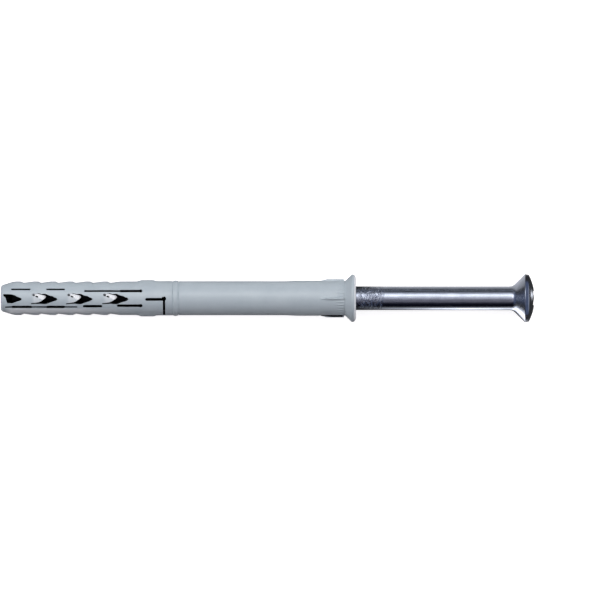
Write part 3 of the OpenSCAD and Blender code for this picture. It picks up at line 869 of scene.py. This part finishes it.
def zinc(grain, streaks):
    """Bright zinc plating over drawn wire, with a little cloudiness and roll marks on the shank, and painted
    shade, near black, on the part inside the bore.
    """
    material, tree, shader = new_material("zinc_plating")
    texture = group_node(tree, grain, Grain=1800.0, Cloud=420.0)
    wire = group_node(tree, streaks)
    tint = mixed(tree, texture["Cloudiness"], ZINC_DARKER, ZINC_LIGHTER)
    # Painted shade: near black on the screw inside the bore
    feed(tree, mixed(tree, wire["Outside"], PAINTED_SHADE, tint), shader.inputs["Base Color"])
    shader.inputs["Metallic"].default_value = 1.0
    rough = maths(tree, "MULTIPLY_ADD", texture["Height"], 0.08, 0.08)
    feed(tree, maths(tree, "MULTIPLY_ADD", wire["Streaks"], 0.08, rough), shader.inputs["Roughness"])
    relief = maths(tree, "MULTIPLY_ADD", wire["Marks"], 4.0, wire["Streaks"])
    bumped(tree, shader, relief, strength=0.35, distance=0.00006)
    return material


# ---- the studio, where places are in metres ----

WHITE, TABLE_COLOUR = (1, 1, 1, 1), (0.85, 0.81, 0.81, 1)
TABLE_HALF, TABLE_LIFT, TABLE_IN_STEEL = 1.6, 0.8, 0.05

# The light cards that the steel mirrors on the table: the base and the paces of their fading away from the shank,
# the near one's edge, and where both begin and end along x
FADE, NEAR_CARD_FADE, FAR_CARD_FADE = 2.718, 31.0, 40.0
NEAR_CARD_EDGE, CARDS_FROM, CARDS_TO = -0.008, 0.004 / 3, 0.05

# Glows over the table that only steel mirrors, which make the glints on the head. Each is a brightness, a
# place and a sharpness along x, the same along y, and whether only the table's -Y side has it.
GLOWS = ((3.0, 0.0585, 625.0, 0.0016, 667.0, False), (3.0, 0.031, 85.0, -0.0138, 200.0, True))

# The light tent: an angle from straight up towards +Y, in degrees, and its brightness
STUDIO = (
    (-90, (0.004, 0.004, 0.008)), (-60, (0.004, 0.004, 0.01)), (-45, (0.05, 0.048, 0.065)),
    (-30, (0.285, 0.27, 0.3)), (-15, (0.23, 0.222, 0.25)), (0, (0.83, 0.82, 0.86)), (12, (1.07, 1.07, 1.1)),
    (24, (2.48, 2.5, 2.5)), (36, (2.0, 2.03, 2.07)), (48, (0.59, 0.6, 0.63)), (60, (0.235, 0.25, 0.27)),
    (75, (0.004, 0.005, 0.006)), (90, (0.46, 0.5, 0.55)),
)
FULL_LIGHT, END_LIGHT = 2.5, 2.2
CAMERA_WHITE = (0.4, 0.4, 0.4, 1)
DUSK, END_WALL = (0.052, 0.064, 0.098, 1), (0.3, 0.31, 0.33, 1)

# Millimetres to a pixel, pixels to the frame's width, and the point in millimetres that the camera looks at
PIXEL, FRAME_PIXELS, AIM = 0.2817, 600, (-15.75, -0.507)
LENS, SENSOR = 1000, 36


def table_in_steel(tree):
    """How bright the table looks in the steel: dark, with a light card on either side of the shank that stops
    short of the collar and of the head, and two small glows."""
    calc, beyond = functools.partial(maths, tree), functools.partial(past, tree)

    def fading(distance, pace):
        return calc("POWER", FADE, calc("MULTIPLY", distance, -pace))

    x, y = coordinates(tree)[1:3]
    away, near_side = calc("ABSOLUTE", y), beyond(y, NEAR_CARD_EDGE, -250.0)
    towards_head = calc("MULTIPLY", calc("MULTIPLY_ADD", x, 20.0, 0.2), 1.8)
    near_card = calc("MULTIPLY", calc("MULTIPLY", fading(away, NEAR_CARD_FADE), near_side), towards_head)
    far_card = calc("MULTIPLY", calc("MULTIPLY", beyond(y, 0.0, 400.0), 1.05), fading(away, FAR_CARD_FADE))
    by_shank = calc("MULTIPLY", beyond(x, CARDS_TO, -250.0), beyond(x, CARDS_FROM, 150.0))
    light = calc("MULTIPLY", calc("ADD", near_card, far_card), by_shank)
    for bright, at_x, sharp_x, at_y, sharp_y, near_only in GLOWS:
        u = calc("MULTIPLY", calc("ADD", x, -at_x), sharp_x)
        v = calc("MULTIPLY", calc("ADD", y, -at_y), sharp_y)
        glow = fading(calc("MULTIPLY_ADD", u, u, calc("MULTIPLY", v, v)), 1.0)
        if near_only:
            glow = calc("MULTIPLY", glow, near_side)
        light = calc("MULTIPLY_ADD", glow, bright, light)
    return calc("ADD", light, TABLE_IN_STEEL)


def pale_table():
    """A plain pale table that the screw's head rests on. The camera sees it white with a soft shadow, and the
    steel mirrors a dark top with light cards on it."""
    a, z = TABLE_HALF, -HEAD_R * MM
    mesh = bpy.data.meshes.new("table_top")
    mesh.from_pydata([(-a, -a, z), (a, -a, z), (a, a, z), (-a, a, z)], [], [(0, 1, 2, 3)])
    table_top = bpy.data.objects.new("table_top", mesh)
    SCENE.collection.objects.link(table_top)
    material, tree, shader = new_material("pale_table")
    shader.inputs["Base Color"].default_value = TABLE_COLOUR
    shader.inputs["Roughness"].default_value = 0.9
    path = tree.nodes.new("ShaderNodeLightPath").outputs
    lift = maths(tree, "MULTIPLY", path["Is Camera Ray"], TABLE_LIFT)
    glow = tree_node(tree, "ShaderNodeEmission", Color=WHITE, Strength=lift)
    lifted = tree.nodes.new("ShaderNodeAddShader")
    mirrored = tree_node(tree, "ShaderNodeEmission", Color=WHITE, Strength=table_in_steel(tree))
    pick = tree.nodes.new("ShaderNodeMixShader")
    for source, socket in (
            (shader.outputs[0], lifted.inputs[0]), (glow.outputs[0], lifted.inputs[1]),
            (path["Is Glossy Ray"], pick.inputs[0]), (lifted.outputs[0], pick.inputs[1]),
            (mirrored.outputs[0], pick.inputs[2]),
            (pick.outputs[0], tree.nodes["Material Output"].inputs["Surface"])):
        tree.links.new(source, socket)
    mesh.materials.append(material)


def tent_colours(tree, y, z):
    """The tent's brightness for each angle over the plug's axis."""
    angle = maths(tree, "ARCTAN2", y, z)
    made = tree_node(tree, "ShaderNodeValToRGB", Fac=maths(tree, "MULTIPLY_ADD", angle, 1 / math.pi, 0.5))
    stops = made.color_ramp.elements
    while len(stops) > 1:
        stops.remove(stops[-1])
    for degrees, light in STUDIO:
        at = degrees / 180 + 0.5
        stop = stops[0] if degrees == STUDIO[0][0] else stops.new(at)
        stop.position, stop.color = at, tuple(c / FULL_LIGHT for c in light) + (1,)
    return made.outputs["Color"]


def studio_world():
    """A light tent over the plug's axis. Its -Y side is black, which gives the steel its dark line, and its two
    ends are brighter. Mirrored, the ends are dusky instead, with a light wall straight beyond the head. The
    camera sees white past the table."""
    world = bpy.data.worlds.new("studio")
    world.use_nodes = True
    SCENE.world = world
    tree = world.node_tree
    background = tree.nodes["Background"].inputs
    calc, beyond = functools.partial(maths, tree), functools.partial(past, tree)
    x, y, z = coordinates(tree, "Generated")[1:]
    path = tree.nodes.new("ShaderNodeLightPath").outputs
    camera_ray, glossy_ray = path["Is Camera Ray"], path["Is Glossy Ray"]
    dusky = calc("MULTIPLY", glossy_ray, calc("MAXIMUM", beyond(x, 0.125, 8.0), beyond(x, -0.8, -6.0)))
    tent = mixed(tree, camera_ray, tent_colours(tree, y, z), CAMERA_WHITE)
    dusk = mixed(tree, beyond(x, 0.6, 6.0), DUSK, END_WALL)
    feed(tree, mixed(tree, dusky, tent, dusk), background["Color"])
    mirrored = calc("MAXIMUM", dusky, calc("MULTIPLY", glossy_ray, beyond(x, 0.0, 20.0)))
    lit = calc("SUBTRACT", calc("SUBTRACT", 1.0, camera_ray), mirrored, clamp=True)
    ends = beyond(calc("ABSOLUTE", x), 0.56, 2.5)
    strength = calc("MULTIPLY_ADD", calc("MULTIPLY", ends, lit), END_LIGHT, FULL_LIGHT)
    feed(tree, strength, background["Strength"])


def camera():
    """Looks straight down on the plug, through a long lens."""
    data = bpy.data.cameras.new("camera")
    data.lens, data.sensor_width = LENS, SENSOR
    data.clip_start, data.clip_end = 0.05, 20
    obj = bpy.data.objects.new("camera", data)
    away = FRAME_PIXELS * PIXEL / 2 * LENS / (SENSOR / 2)
    obj.location = (AIM[0] * MM, AIM[1] * MM, away * MM)
    SCENE.collection.objects.link(obj)
    SCENE.camera = obj


# ---- putting it together ----

def dress(obj, material, node):
    """Gives a piece and the solid that it stands for their finish, and says where the piece belongs."""
    for mesh in (obj.data, frame["nodes"][node].data):
        mesh.materials.clear()
        mesh.materials.append(material)
    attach(obj, "root")
    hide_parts(node)


# depth carries the painted shade of the sleeve's cuts
grain, depth, streaks = grain_group(), cut_shade_group(), streak_group()
dress(make_sleeve(), nylon(grain, depth), "plug_sleeve")
dress(make_screw(), zinc(grain, streaks), "screw")

SCENE.view_settings.view_transform = "Standard"
pale_table()
studio_world()
camera()
